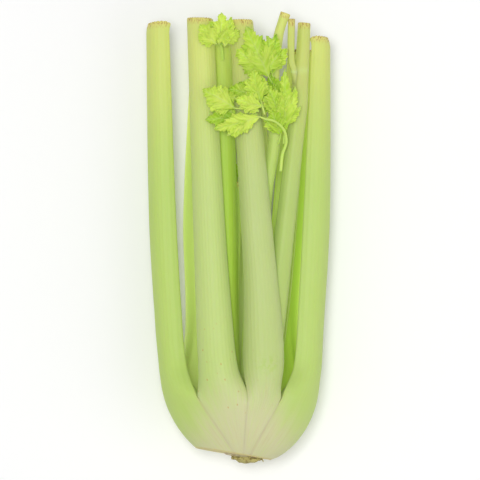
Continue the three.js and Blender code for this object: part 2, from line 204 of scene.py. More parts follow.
# Each leaflet: where its own stem leaves the leaf's stem, the base and the tip of its midrib, then its width,
# the turn about the midrib from facing up, the rise of its middle, the rise of its sides, how pale it is, and
# how far its side lobes spread.
LEAFLETS = {
    "leaflet_upper": ((23.5, 262, 31), (20, 268, 40.5), (3, 305, 44), (30, -10, 2, -1.5, 0.65, 0.9)),
    "leaflet_beside_cut": ((24, 266, 30), (22.5, 270, 36), (25.5, 300, 38), (19, 16, 1, 1, 0.6, 0.75)),
    "leaflet_centre": ((16.5, 244, 47), (14.5, 251, 47), (8.5, 275, 49), (18, 10, 2, 1.5, 0.75, 0.7)),
    "leaflet_right": ((30.5, 222, 31), (31, 230, 31), (31, 277, 38), (20, -12, 3, 1.5, 0.65, 0.5)),
    "leaflet_left": ((13, 244, 49), (-3.5, 246, 49), (-27, 259.5, 47), (24, -8, 3, -1.5, 0.85, 0.65)),
    "leaflet_fold": ((17, 242, 48), (15.5, 247, 51), (-5, 253.5, 53), (17, 10, 2, 1, 0.95, 0.6)),
    "leaflet_lower": ((17.3, 238.6, 47.8), (13.5, 240, 49), (-20, 231, 46.5), (20, 14, 3, 1, 0.8, 0.32)),
    "leaflet_under": ((12, 242, 46), (-1, 240, 45), (-25.5, 238, 43.6), (18, -6, 0.5, -0.5, 0.4, 0.8)),
    "leaflet_behind": ((15, 247, 45), (9, 256, 43), (-9, 260, 42.5), (17, 0, 1, -0.5, 0.4, 1)),
    "leaflet_curled": ((25, 238, 31), (27, 242, 36), (18, 264, 41), (18, -22, 1.5, 1.5, 0.6, 0.9)),
    "leaflet_inside": ((25.5, 246, 29), (29, 251, 31.5), (20, 271, 35), (19, 14, 1, 1, 0.4, 0.9)),
    "leaflet_low_right": ((27, 222, 30), (28.5, 228, 33), (21, 249, 38), (17, 12, 1.5, 1, 0.5, 0.7)),
    "leaflet_tuft_left": (
        (-18.6, 291.2, 36.2), (-16.5, 291, 41), (-28.5, 305, 43), (18, 12, 1.5, 1, 0.85, 0.9)
    ),
    "leaflet_tuft_middle": (
        (-14, 292, 33), (-14.5, 291, 38.5), (-13, 314, 42.5), (19, -20, 1.5, 1, 0.95, 0.9)
    ),
    "leaflet_tuft_right": ((-12, 291, 31), (-10.5, 289.5, 37), (-5.5, 311, 38.5), (17, 8, 1, 1, 0.95, 0.8)),
    "leaflet_heart_left": ((-3, 192, 0), (-2, 198, 0.5), (-5, 222, 5), (11, 20, 1.5, 1.5, 0.3, 1)),
    "leaflet_heart_right": ((12, 164, -9), (11.5, 170, -8), (8, 192, -4), (11, -15, 1.5, 1.5, 0.3, 1)),
}

LEAF_STEMS = {
    "leaf_stem_front": [(28.5, 203, 27.6), (29.6, 214, 30), (32.3, 223, 34.5), (30.6, 231.2, 39.2),
                        (24.5, 236.8, 44.6), (17.3, 238.6, 47.8)],
    "leaf_stem_tuft": [(-12, 281, 24.5), (-12.6, 288, 29), (-14, 293, 35)],
}


# ---- Settings --------------------------------------


def colour(name, description, value):
    return bpy.props.FloatVectorProperty(
        name=name, description=description, default=value, subtype="COLOR", size=3, min=0, max=1
    )


def length(name, description, value):
    return bpy.props.FloatProperty(
        name=name, description=description, default=value, min=0, unit="LENGTH", precision=5
    )


class StalkSettings(bpy.types.PropertyGroup):
    rib_spacing: length("Rib spacing", "Width of one rib of an outer stalk at half height", 0.0024)
    rib_height: length("Rib height", "Height of the ribs over the grooves between them", 0.00016)
    crease: length("Crease", "Space left between two stalks' bases", 0.0)
    cream: colour("Cream", "Colour of the blanched base", (0.62, 0.6, 0.36))
    pale: colour("Pale green", "Colour of a pale stalk above the base", (0.55, 0.65, 0.26))
    green: colour("Green", "Colour of a green stalk above the base", (0.46, 0.65, 0.115))
    lime: colour("Lime", "Colour of the shaded stalks and of the channels", (0.42, 0.68, 0.025))
    top: colour("Yellow green", "Colour just under the top cut", (0.68, 0.72, 0.19))
    dried: colour("Dried cut", "Colour of the dried top cut", (0.62, 0.47, 0.16))
    blush: colour("Blush", "Colour of the fibres that show in the base", (0.56, 0.42, 0.24))
    rust: colour("Rust", "Colour of the small bruises", (0.46, 0.24, 0.05))


class LeafSettings(bpy.types.PropertyGroup):
    thickness: length("Thickness", "Thickness of a leaflet", 0.0004)
    stem_width: length("Stem width", "Width of a leaflet's own stem", 0.0013)
    bright: colour("Bright green", "Colour of the palest leaflets", (0.62, 0.82, 0.11))
    deep: colour("Deep green", "Colour of the greenest leaflets", (0.28, 0.53, 0.012))
    vein: colour("Vein", "Colour of the veins and stems", (0.6, 0.74, 0.25))


class CrownSettings(bpy.types.PropertyGroup):
    flesh: colour("Flesh", "Colour of the crown's cut face", (0.62, 0.56, 0.34))
    edge: colour("Dried edge", "Colour of the dried rims in the cut face", (0.42, 0.3, 0.13))
    root: colour("Root", "Colour of the root stub", (0.5, 0.45, 0.16))
    root_dark: colour("Root hollows", "Colour of the hollows in the root stub", (0.17, 0.09, 0.02))


class StageSettings(bpy.types.PropertyGroup):
    floor: colour("Floor", "Colour of the floor", (0.97, 0.97, 0.97))
    softbox_power: bpy.props.FloatProperty(
        name="Softbox power", description="Power of the main light", default=37.4, min=0, unit="POWER"
    )
    camera_height: length("Camera height", "Height of the camera over the floor", 2.2)
    margin: bpy.props.FloatProperty(
        name="Margin", description="Height of the view as a share of the head's length", default=1.0687, min=1
    )


# ---- Shaping ---------------------------------------


def smooth_step(low, high, value):
    t = np.clip((value - low) / (high - low), 0, 1)
    return t * t * (3 - 2 * t)


def blend(a, b, share):
    return a + (b - a) * share


def stack(x, y, z):
    return np.stack(np.broadcast_arrays(x, y, z), axis=-1).astype(float)


def direction(degrees):
    return np.cos(np.radians(degrees)), np.sin(np.radians(degrees))


def bowl_radius(y):
    down = np.maximum(0, 1 - y / BOWL_HEIGHT)
    return ROOT_RADIUS + (BOWL_RADIUS - ROOT_RADIUS) * np.maximum(0, 1 - down * down) ** BOWL_FULLNESS


def bowl_point(angle, y, share=1.0):
    """The point of the bowl at an angle and a height. share is 1 at its outside and 0 at its middle."""
    radius = bowl_radius(y) * share
    down = np.maximum(0, 1 - y / BOWL_HEIGHT)
    c, s = direction(angle)
    return stack(BOWL_SIDE * down + radius * c, y, BOWL_LEAN * down**2 + BOWL_FLATNESS * radius * s)


def cut_plane(x, z):
    return CUT_HEIGHT + CUT_SLOPE * x + CUT_TILT * (z - BOWL_LEAN)


def cut_height(angle, share):
    """Where the root cut meets the bowl, found by stepping up to it."""
    y = np.full(np.shape(angle), float(CUT_HEIGHT))
    for _ in range(12):
        at = bowl_point(angle, np.maximum(y, 0.2), share)
        y = blend(y, cut_plane(at[..., 0], at[..., 2]), 0.6)
    return np.maximum(y, 0.2)


def bowl_point_above(angle, level, share):
    foot = cut_height(angle, share)
    y = np.where(level < BOWL_HEIGHT, foot + level * (BOWL_HEIGHT - foot) / BOWL_HEIGHT, level)
    return bowl_point(angle, y, share)


def crowded(angle, level):
    """The sides of the bases draw together towards FRONT at the root."""
    turn = (angle - FRONT + 180) % 360 - 180
    lost = (1 - CROWDING) * (1 - np.minimum(1, level / COLLAR))
    return angle - turn * lost * (1 - smooth_step(40, 95, abs(turn)))


def crown_share(level):
    return blend(CROWN_SHARE, CROWN_SHARE_TOP, smooth_step(8, COLLAR, level))


def along(way, y):
    """The columns of a way after its first, at heights y, on a smooth curve through its rows."""
    way = np.array(way, float)
    last = len(way) - 1
    before = np.maximum(np.arange(last + 1) - 1, 0)
    after = np.minimum(np.arange(last + 1) + 1, last)
    slope = (way[after] - way[before]) / (way[after, :1] - way[before, :1])
    i = np.clip(np.searchsorted(way[:, 0], y, side="left") - 1, 0, last - 1)
    step = way[i + 1, 0] - way[i, 0]
    t = np.clip((y - way[i, 0]) / step, 0, 1)[..., None]
    step = step[..., None]
    a, b = way[i], way[i + 1]
    at = (2 * t**3 - 3 * t**2 + 1) * a + (t**3 - 2 * t**2 + t) * step * slope[i]
    at = at + (3 * t**2 - 2 * t**3) * b + (t**3 - t**2) * step * slope[i + 1]
    return np.moveaxis(at[..., 1:], -1, 0)


def crescent(u, inside, width):
    """A point of a stalk's section in its own plane. The outer face's middle is at 0, 0 and faces +y."""
    depth = 1.5 + 0.44 * width
    wall = 0.3 + 0.25 * width

    def outer(at):
        bulge = (1 - np.cos(ARC * at)) / (1 - math.cos(ARC))
        return width / 2 * np.sin(ARC * at) / math.sin(ARC), -depth * bulge**SQUARENESS

    at = np.where(inside, u * CHANNEL_REACH, u)
    x, y = outer(at)
    ahead, behind = outer(at + 0.01), outer(at - 0.01)
    run, rise = ahead[0] - behind[0], ahead[1] - behind[1]
    size = np.hypot(run, rise)
    inward = np.where(inside, wall * (1 - MARGIN * u * u), 0)
    return x + inward * rise / size, y - inward * run / size


def free_point(way, y, u, inside):
    x, z, facing, width = along(way, y)
    flat_x, flat_y = crescent(u, inside, width)
    c, s = direction(facing)
    return stack(x + s * flat_x + c * flat_y, y, z - c * flat_x + s * flat_y)


def base_point(sector, level, u, inside, crease):
    gap = crease / 2 / bowl_radius(level + 1) * (180 / math.pi)
    low, high = crowded(sector[0], level) + gap, crowded(sector[1], level) - gap
    angle = blend(high, low, (u * np.where(inside, 0.97, 1) + 1) / 2)
    return bowl_point_above(angle, level, np.where(inside, crown_share(level), 1))


def crown_points(sides, levels, clearance):
    """The crown's rings, clear of the stalks' channels. Its top is level and a little narrower."""
    angle, level = np.meshgrid(np.arange(sides) * 360 / sides, levels)
    share = crown_share(level) - clearance / bowl_radius(level + 3)
    points = bowl_point_above(angle, level, share * np.where(level == CROWN_TOP, 0.94, 1))
    points[level == CROWN_TOP, 1] = CROWN_TOP
    return points


def find_set_down():
    """How far the frame has moved the head from its own axis, from the two places of its crown."""
    points = crown_points(20, [0, 12, 22, 31, CROWN_TOP], 1.6).reshape(-1, 3)
    there = points.min(axis=0) + points.max(axis=0)
    here = sum(np.array(corner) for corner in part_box("crown")) / MM
    return (here - there) / 2


SET_DOWN = find_set_down()


# ---- Meshes ----------------------------------------

OUTER_SIDE, INNER_SIDE, EDGE_SIDE = 76, 30, 7
STRAY = 0.02  # how far a piece may reach past its node's box, in metres
CUT_CURL = 7  # length of stalk that curls in under its top cut
RIB_SPREAD = 1.35  # length of the outer face over the width
EDGE_FADE = 0.93, 1  # where the ribs end and the seams begin, from the middle to the edge
RING_REACH = 1.1


def only(piece):
    """Leaves one object selected and active."""
    bpy.ops.object.select_all(action="DESELECT")
    piece.select_set(True)
    bpy.context.view_layer.objects.active = piece


def sheet_of(name, points):
    """A grid sheet whose rows and columns stand at the given points, in millimetres on the head's axis."""
    rows, columns = points.shape[:2]
    bpy.ops.mesh.primitive_grid_add(x_subdivisions=columns - 1, y_subdivisions=rows - 1, size=1)
    piece = bpy.context.object
    piece.name = piece.data.name = name
    place = (points + SET_DOWN) * MM
    piece.data.vertices.foreach_set("co", place.reshape(-1).astype(np.float32))
    piece.data.update()
    return piece


def write(piece, name, values):
    """Stores one number for each vertex, or the same one for all, for the materials to read."""
    store = piece.data.attributes.get(name) or piece.data.attributes.new(name, "FLOAT", "POINT")
    values = np.asarray(values, np.float32).reshape(-1)
    store.data.foreach_set("value", np.resize(values, len(store.data)) if len(values) == 1 else values)


def read(piece, name):
    store = np.zeros(len(piece.data.vertices), np.float32)
    piece.data.attributes[name].data.foreach_get("value", store)
    return store


def places(piece):
    """The vertices of a piece, in millimetres on the head's axis."""
    place = np.zeros(len(piece.data.vertices) * 3, np.float32)
    piece.data.vertices.foreach_get("co", place)
    return place.reshape(-1, 3) / MM - SET_DOWN


def roll_up(name, points, attributes=(), inset=0.5):
    """A closed solid from rings of points: its first and last columns are merged, and its ends filled."""
    piece = sheet_of(name, np.concatenate([points, points[:, :1]], axis=1))
    for key, values in dict(attributes).items():
        values = np.broadcast_to(values, points.shape[:2])
        write(piece, key, np.concatenate([values, values[:, :1]], axis=1))
    only(piece)
    bpy.ops.object.mode_set(mode="EDIT")
    bpy.ops.mesh.select_all(action="SELECT")
    bpy.ops.mesh.remove_doubles(threshold=1e-6)
    bpy.ops.mesh.select_all(action="DESELECT")
    bpy.ops.mesh.select_mode(type="EDGE")
    bpy.ops.mesh.select_non_manifold()
    bpy.ops.mesh.fill_holes(sides=0)
    if inset:
        bpy.ops.mesh.select_mode(type="FACE")
        bpy.ops.mesh.select_all(action="DESELECT")
        bpy.ops.mesh.select_face_by_sides(number=8, type="GREATER")
        bpy.ops.mesh.inset(thickness=inset * MM, depth=-0.5 * inset * MM)
    bpy.ops.mesh.select_all(action="SELECT")
    bpy.ops.mesh.normals_make_consistent(inside=False)
    bpy.ops.object.mode_set(mode="OBJECT")
    return piece


def check(piece, node):
    """Stops the build when a piece has come out empty or away from the node it stands for."""
    low, high = (np.array(corner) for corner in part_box(node))
    place = (places(piece) + SET_DOWN) * MM
    if not len(place) or (place < low - STRAY).any() or (place > high + STRAY).any():
        raise RuntimeError(f"{node} was not modelled in its own place")


def finish(piece, material, node, angle=40):
    check(piece, node)
    only(piece)
    bpy.ops.object.shade_smooth_by_angle(angle=math.radians(angle), keep_sharp_edges=False)
    piece.data.materials.clear()
    piece.data.materials.append(material)
    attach(piece, "root")
    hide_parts(node)
    return piece


def normals(points):
    """The outward normals of a closed sheet of rings."""
    around = np.roll(points, -1, axis=1) - np.roll(points, 1, axis=1)
    up = np.gradient(points, axis=0)
    n = np.cross(up, around)
    return n / np.maximum(np.linalg.norm(n, axis=-1, keepdims=True), 1e-9)


def soften(points, strength, rounds):
    """Rounds the corners of every ring. strength is from 0 to 1 for each ring."""
    share = (0.5 * strength)[:, None, None]
    for _ in range(rounds):
        middle = (np.roll(points, 1, axis=1) + np.roll(points, -1, axis=1)) / 2
        points = blend(points, middle, share)
    return points


def section_spots():
    """Where the points of a section lie: how far across, from the channel's side (1) or the skin (0)."""
    skin = np.linspace(-1, 1, OUTER_SIDE)
    channel = np.linspace(1, -1, INNER_SIDE)
    edge = np.linspace(0, 1, EDGE_SIDE + 2)[1:-1]
    across = np.concatenate([skin, np.ones(EDGE_SIDE), channel, -np.ones(EDGE_SIDE)])
    depth = np.concatenate([np.zeros(OUTER_SIDE), edge, np.ones(INNER_SIDE), 1 - edge])
    return across, depth


def stalk_points(sector, way, crease, levels):
    """The rings of a stalk, from its foot to its top."""
    across, depth = section_spots()
    u, level = np.meshgrid(across, levels)
    sides = []
    for inside in (False, True):
        points = free_point(way, np.maximum(level, way[0][0]), u, inside)
        if sector:
            base = base_point(sector, level, u, inside, crease)
            points = blend(base, points, smooth_step(*CROTCH, level)[..., None])
        sides.append(points)
    return blend(sides[0], sides[1], depth[None, :, None]), u


def stalk_levels(sector, top):
    low = 0 if sector else 36
    base = np.linspace(low, 60, 30, endpoint=False)
    return np.concatenate([base, np.linspace(60, top - 3, 64, endpoint=False), np.linspace(top - 3, top, 5)])


def make_stalk(name, settings, material):
    sector, plan, look = STALKS[name]
    top, end_x, end_z, end_facing, _ = plan[-1]
    levels = stalk_levels(sector, top)
    points, u = stalk_points(sector, plan, settings.crease / MM, levels)
    loose = smooth_step(20, 75, levels) if sector else np.ones(len(levels))
    points = soften(points, smooth_step(40, 75, levels) if sector else loose, 8)

    # Ribs on the outer face, fading out where the base is blanched and towards the two edges.
    width = np.mean([row[4] for row in plan])
    ribs = max(3, round(width * RIB_SPREAD / (settings.rib_spacing / MM)))
    ridge = np.abs(np.cos(math.pi * (u * ribs / 2)))
    _, depth = section_spots()
    skin = (depth < 0.01).astype(float) * (1 - smooth_step(*EDGE_FADE, np.abs(u)))
    height = settings.rib_height / MM * (1 if sector else 0.4)
    lift = height * (ridge - 0.6) * skin * blend(0.25, 1, loose)[:, None]
    points = points + normals(points) * lift[..., None]

    # The top cut slopes across the stalk, and the skin curls in at it.
    c, s = direction(end_facing)
    near = smooth_step(top - CUT_CURL, top, levels)[:, None]
    points[..., 1] += look.slant * ((points[..., 0] - end_x) * s - (points[..., 2] - end_z) * c) * near
    points[..., 1] -= 0.09 * width * np.abs(u) ** 8 * near
    ragged = 0.22 * np.sin(41 * u + 9 * look.green) + 0.16 * np.sin(83 * u + 2) + 0.12 * np.sin(131 * u)
    points[..., 1] += ragged * (min(width, 24) / 24) ** 3 * smooth_step(top - 1.2, top, levels)[:, None]
    curl = look.droop * near**2 * (1 - depth)
    points[..., 0] -= curl * c
    points[..., 2] -= curl * s

    across = u * width / 2
    stored = {"across": across, "level": levels[:, None], "ridge": ridge * skin, "inside": depth}
    piece = roll_up(name, points, stored)
    if name in BRANCHES:
        route, size = BRANCHES[name]
        radius = size / 2 * blend(1.6, 1, smooth_step(0, 0.45, np.linspace(0, 1, 50)))
        branch = roll_up(name + "_branch", stem_points(route, radius, 50, 28))
        for key in ("across", "ridge"):
            write(branch, key, places(branch)[:, 0] - route[-1][0])
        write(branch, "level", places(branch)[:, 1])
        write(branch, "inside", 0)
        only(piece)
        branch.select_set(True)
        bpy.ops.object.join()
    at = places(piece)
    rise = look.slant * ((at[:, 0] - end_x) * s - (at[:, 2] - end_z) * c)
    write(piece, "below_cut", np.clip(top + rise - at[:, 1], 0, 40) + 10 * (name in COVERED))
    above_root = at[:, 1] - cut_plane(at[:, 0], at[:, 2])
    write(piece, "above_root", np.clip(above_root, 0, 40) if sector else 40)
    write(piece, "from_root", np.hypot(1.35 * (at[:, 0] - 3), at[:, 1]))
    if name in RINGS:
        write(piece, "ring", np.exp(-(((at[:, 1] - RINGS[name]) / RING_REACH) ** 2)))
    across = read(piece, "across")
    write(piece, "seam", smooth_step(*EDGE_FADE, np.abs(across) / (width / 2)) * (at[:, 1] < BOWL_HEIGHT))
    if name in SMUDGES:
        middle, height, reach = SMUDGES[name]
        off = np.hypot(across - middle, read(piece, "level") - height) / reach
        write(piece, "smudge", np.exp(-(off**2)))
    write(piece, "green", look.green)
    write(piece, "spots", look.spots)
    # Darkens stalks with a lightness under 1 above their bases. On the inner left stalk this is painted shade
    # under the leaves.
    write(piece, "shade", (1 - look.lightness) * smooth_step(25, 75, at[:, 1]))
    # The painted glow is at six tenths of its strength below 50 mm, full from 135 mm up, and none on the
    # undersides by the floor.
    painted_glow_share = blend(0.6, 1, smooth_step(50, 135, at[:, 1])) * smooth_step(-42, -33, at[:, 2])
    write(piece, "glow", look.glow * painted_glow_share)
    return finish(piece, material, name)


def curve_points(route, steps):
    """Points on a smooth curve through a route, and the curve's directions there."""
    route = np.array(route, float)
    padded = np.concatenate([[2 * route[0] - route[1]], route, [2 * route[-1] - route[-2]]])
    t = np.linspace(0, len(route) - 1, steps)
    i = np.minimum(t.astype(int), len(route) - 2)
    f = (t - i)[:, None]
    p0, p1, p2, p3 = (padded[i + k] for k in range(4))
    bent, twisted = 2 * p0 - 5 * p1 + 4 * p2 - p3, 3 * p1 - p0 - 3 * p2 + p3
    at = 0.5 * (2 * p1 + (p2 - p0) * f + bent * f**2 + twisted * f**3)
    way = np.gradient(at, axis=0)
    return at, way / np.linalg.norm(way, axis=1, keepdims=True)


def stem_points(route, radius, steps=40, sides=16, groove=0.25):
    """Rings round a route, with a shallow groove above. radius is one number, or one for each ring."""
    middle, way = curve_points(route, steps)
    side = np.cross(way, (0, 0, 1))
    side /= np.linalg.norm(side, axis=1, keepdims=True)
    up = np.cross(side, way)
    turn = np.linspace(0, 2 * math.pi, sides, endpoint=False)
    reach = 1 - groove * np.exp(-(((turn - math.pi / 2) / 0.5) ** 2))
    radius = np.broadcast_to(radius, (steps,))[:, None, None]
    ring = np.cos(turn)[None, :, None] * side[:, None] + np.sin(turn)[None, :, None] * up[:, None]
    return middle[:, None] + radius * reach[None, :, None] * ring


# ---- Leaflets --------------------------------------

BLADE_ROWS, BLADE_COLUMNS = 81, 31
VEIN_SWEEP = 0.95


def saw(phase):
    """A tooth that rises slowly and drops quickly."""
    t = phase % 1
    return np.where(t < 0.72, t / 0.72, (1 - t) / 0.28)


def blade_reach(v, shift):
    """Half a lobe's width at the foot of each side vein, as a share: shallow lobes with pointed teeth."""
    body = np.sin(math.pi * np.clip(v, 0, 1) ** 0.62) ** 0.75 * (1 - 0.42 * v)
    lobes = sum(np.exp(-(((v - p - shift) / w) ** 2)) for p, w in ((0.2, 0.12), (0.5, 0.11), (0.79, 0.12)))
    teeth = saw(v * 10 + shift * 30)
    return 0.03 + body * (0.46 + 0.34 * np.minimum(1, lobes) + 0.32 * teeth)


def make_lobe(name, base, rib, width, roll, arch, cup, pale, thickness, draw):
    """One toothed, ruffled blade with a sunken midrib and raised cells between its side veins."""
    size = np.linalg.norm(rib)
    forward = rib / size
    up = np.array((0, 0, 1.0)) - forward[2] * forward
    up /= np.linalg.norm(up)
    side = np.cross(forward, up)
    u, v = np.meshgrid(np.linspace(-1, 1, BLADE_COLUMNS), np.linspace(0, 1, BLADE_ROWS))
    shift = np.where(u < 0, draw.uniform(-0.05, 0.0), draw.uniform(0.0, 0.05))
    reach = blade_reach(v, shift) * width / 2
    step = v * size * 0.93 + np.abs(u) ** 1.2 * reach * VEIN_SWEEP
    step = np.maximum.accumulate(step, axis=0)
    out = u * reach

    veins = 8
    near_vein = np.cos(2 * math.pi * (v - shift) * veins) * 0.5 + 0.5
    quilt = (1 - near_vein**3) * np.abs(u) ** 0.6 * (1 - np.abs(u) ** 6)
    midrib = np.exp(-((out / 0.5) ** 2))
    phase = np.where(u < 0, draw.uniform(0, 1), draw.uniform(0, 1))
    ruffle = np.sin(2 * math.pi * (v * 2.3 + phase) + 1.5 * u) * u * u
    bend = draw.uniform(-0.12, 0.12) * size * v * v
    lift = 4 * arch * v * (1 - v) + cup * np.abs(u) ** 1.5 * reach / (width / 2) + bend
    crumple = np.sin(2 * math.pi * (v * 4.6 + 3 * phase) - 3.5 * u) * np.abs(u) ** 0.7
    lift = lift + width * (0.02 * crumple + 0.025 * quilt + 0.16 * ruffle * (0.4 + 0.8 * v)) - 0.3 * midrib

    turn = np.radians(roll + draw.uniform(-20, 20) * v)
    x = out * np.cos(turn) - lift * np.sin(turn)
    z = out * np.sin(turn) + lift * np.cos(turn)
    points = base + step[..., None] * forward + x[..., None] * side + z[..., None] * up
    blade = sheet_of(name, points)
    vein = np.maximum(midrib, near_vein**14 * np.exp(-np.abs(u) * 1.2) * (v > 0.02) * 0.8)
    write(blade, "vein", vein)
    # Painted light: the raised parts of the blade are paler and the dips darker. The parts near the side
    # veins are paler too.
    painted_ruffle_light_and_vein_tone = 0.6 * (lift - lift.mean()) / width + 0.22 * (near_vein - 0.5) * np.abs(u) ** 0.4
    write(blade, "pale", pale + painted_ruffle_light_and_vein_tone)
    write(blade, "edge", np.abs(u))
    only(blade)
    blade.modifiers.new("thickness", "SOLIDIFY")
    blade.modifiers["thickness"].thickness = thickness
    blade.modifiers["thickness"].offset = 0
    bpy.ops.object.modifier_apply(modifier="thickness")
    return blade, points[5, BLADE_COLUMNS // 2]


# The lobes of a leaflet: the turn from its midrib in degrees, the length and the width as shares of its own,
# and the turn out of its plane.
LOBES = [
    (0, 1, 0.7, 0),
    (34, 0.68, 0.58, 16),
    (-36, 0.64, 0.56, -18),
    (66, 0.42, 0.42, -12),
    (-70, 0.4, 0.42, 14),
]


def write_stem(piece, pale):
    for key, value in (("vein", 1), ("pale", pale), ("edge", 0)):
        write(piece, key, value)


def make_leaflet(name, settings, material):
    leaves_stem, base, tip, (width, roll, arch, cup, pale, spread) = LEAFLETS[name]
    draw = np.random.default_rng(sum(map(ord, name)))
    base, tip = np.array(base, float), np.array(tip, float)
    rib = tip - base
    lobes = []
    for number, (turn, length_share, width_share, tilt) in enumerate(LOBES):
        c, s = direction(turn * spread + (draw.uniform(-6, 6) if turn else 0))
        turned = np.array((c * rib[0] - s * rib[1], s * rib[0] + c * rib[1], rib[2])) * length_share
        start = base + rib * 0.1 * (number > 0) - (0, 0, 0.5 * number)
        lobe, inner = make_lobe(
            f"{name}_{number}", start, turned, width * width_share, roll + tilt, arch * length_share, cup,
            pale + draw.uniform(-0.15, 0.15), settings.thickness, draw,
        )
        lobes.append(lobe)
        if not number:
            inside_blade = inner
    start = np.array(leaves_stem, float)
    bend = blend(start, base, 0.5) + np.array((0, 0, 0.12 * np.linalg.norm(base - start)))
    radius = settings.stem_width / MM / 2 * np.linspace(1.15, 0.45, 18)
    stem = roll_up(name + "_stem", stem_points([start, bend, base, inside_blade], radius, 18, 10), inset=0)
    write_stem(stem, pale)
    only(lobes[0])
    for piece in (*lobes[1:], stem):
        piece.select_set(True)
    bpy.ops.object.join()
    lobes[0].name = lobes[0].data.name = name
    return finish(lobes[0], material, name, 60)


# ---- Materials -------------------------------------


class Graph:
    """The nodes of one material."""

    def __init__(self, name):
        self.material = bpy.data.materials.get(name) or bpy.data.materials.new(name)
        self.material.use_nodes = True
        self.tree = self.material.node_tree
        self.tree.nodes.clear()

    def node(self, kind, settings=None, **inputs):
        """Adds a node. Settings are set first; a list of stops fills a ramp. Inputs are values or links."""
        made = self.tree.nodes.new(kind)
        for key, value in (settings or {}).items():
            if key == "stops":
                self.fill(made.color_ramp, value)
            else:
                setattr(made, key, value)
        for key, value in inputs.items():
            numbered = key[0] == "n" and key[1:].isdigit()
            socket = made.inputs[int(key[1:]) if numbered else key]
            if isinstance(value, Value):
                self.tree.links.new(value.socket, socket)
            else:
                socket.default_value = value
        return made

    def fill(self, ramp, stops):
        while len(ramp.elements) < len(stops):
            ramp.elements.new(1)
        for element, (position, shade) in zip(ramp.elements, stops):
            element.position = position
            element.color = shade

    def value(self, kind, settings=None, output=0, **inputs):
        return Value(self, self.node(kind, settings, **inputs).outputs[output])

    def attribute(self, name):
        return self.value("ShaderNodeAttribute", {"attribute_name": name}, "Fac")

    def place(self):
        return self.value("ShaderNodeTexCoord", None, "Object")

    def noise(self, vector, scale, detail=3.0, roughness=0.5):
        return self.value(
            "ShaderNodeTexNoise", None, "Fac", Vector=vector, Scale=scale, Detail=detail, Roughness=roughness
        )

    def point(self, x, y, z):
        return self.value("ShaderNodeCombineXYZ", None, 0, X=x, Y=y, Z=z)

    def stretched(self, vector, x, y, z):
        return self.value("ShaderNodeVectorMath", {"operation": "MULTIPLY"}, n0=vector, n1=(x, y, z))

    def step(self, value, low, high):
        """0 below low, 1 above high, and smooth between them."""
        return self.value(
            "ShaderNodeMapRange", {"interpolation_type": "SMOOTHSTEP"}, "Result",
            **{"Value": value, "From Min": low, "From Max": high},
        )

    def mix(self, share, a, b):
        settings = {"data_type": "RGBA", "clamp_factor": True}
        return self.value("ShaderNodeMix", settings, 2, n0=share, n6=a, n7=b)

    def bump(self, height, distance, strength):
        settings = {"Height": height, "Distance": distance, "Strength": strength}
        return self.value("ShaderNodeBump", None, "Normal", **settings)

    def finish(self, **inputs):
        shader = self.node("ShaderNodeBsdfPrincipled", None, **inputs)
        out = self.node("ShaderNodeOutputMaterial")
        self.tree.links.new(shader.outputs[0], out.inputs[0])
        return self.material


class Value:
    """A socket that can be used in expressions."""

    def __init__(self, graph, socket):
        self.graph = graph
        self.socket = socket

    def math(self, operation, a, b):
        return self.graph.value("ShaderNodeMath", {"operation": operation}, n0=a, n1=b)

    def __add__(self, other):
        return self.math("ADD", self, other)

    def __radd__(self, other):
        return self.math("ADD", other, self)

    def __sub__(self, other):
        return self.math("SUBTRACT", self, other)

    def __rsub__(self, other):
        return self.math("SUBTRACT", other, self)

    def __mul__(self, other):
        return self.math("MULTIPLY", self, other)

    def __rmul__(self, other):
        return self.math("MULTIPLY", other, self)

    def __truediv__(self, other):
        return self.math("DIVIDE", self, other)

    def __rtruediv__(self, other):
        return self.math("DIVIDE", other, self)

    def __pow__(self, other):
        return self.math("POWER", self, other)

    def __rpow__(self, other):
        return self.math("POWER", other, self)


def rgba(shade, factor=1.0):
    return (*[min(1, c * factor) for c in shade], 1.0)


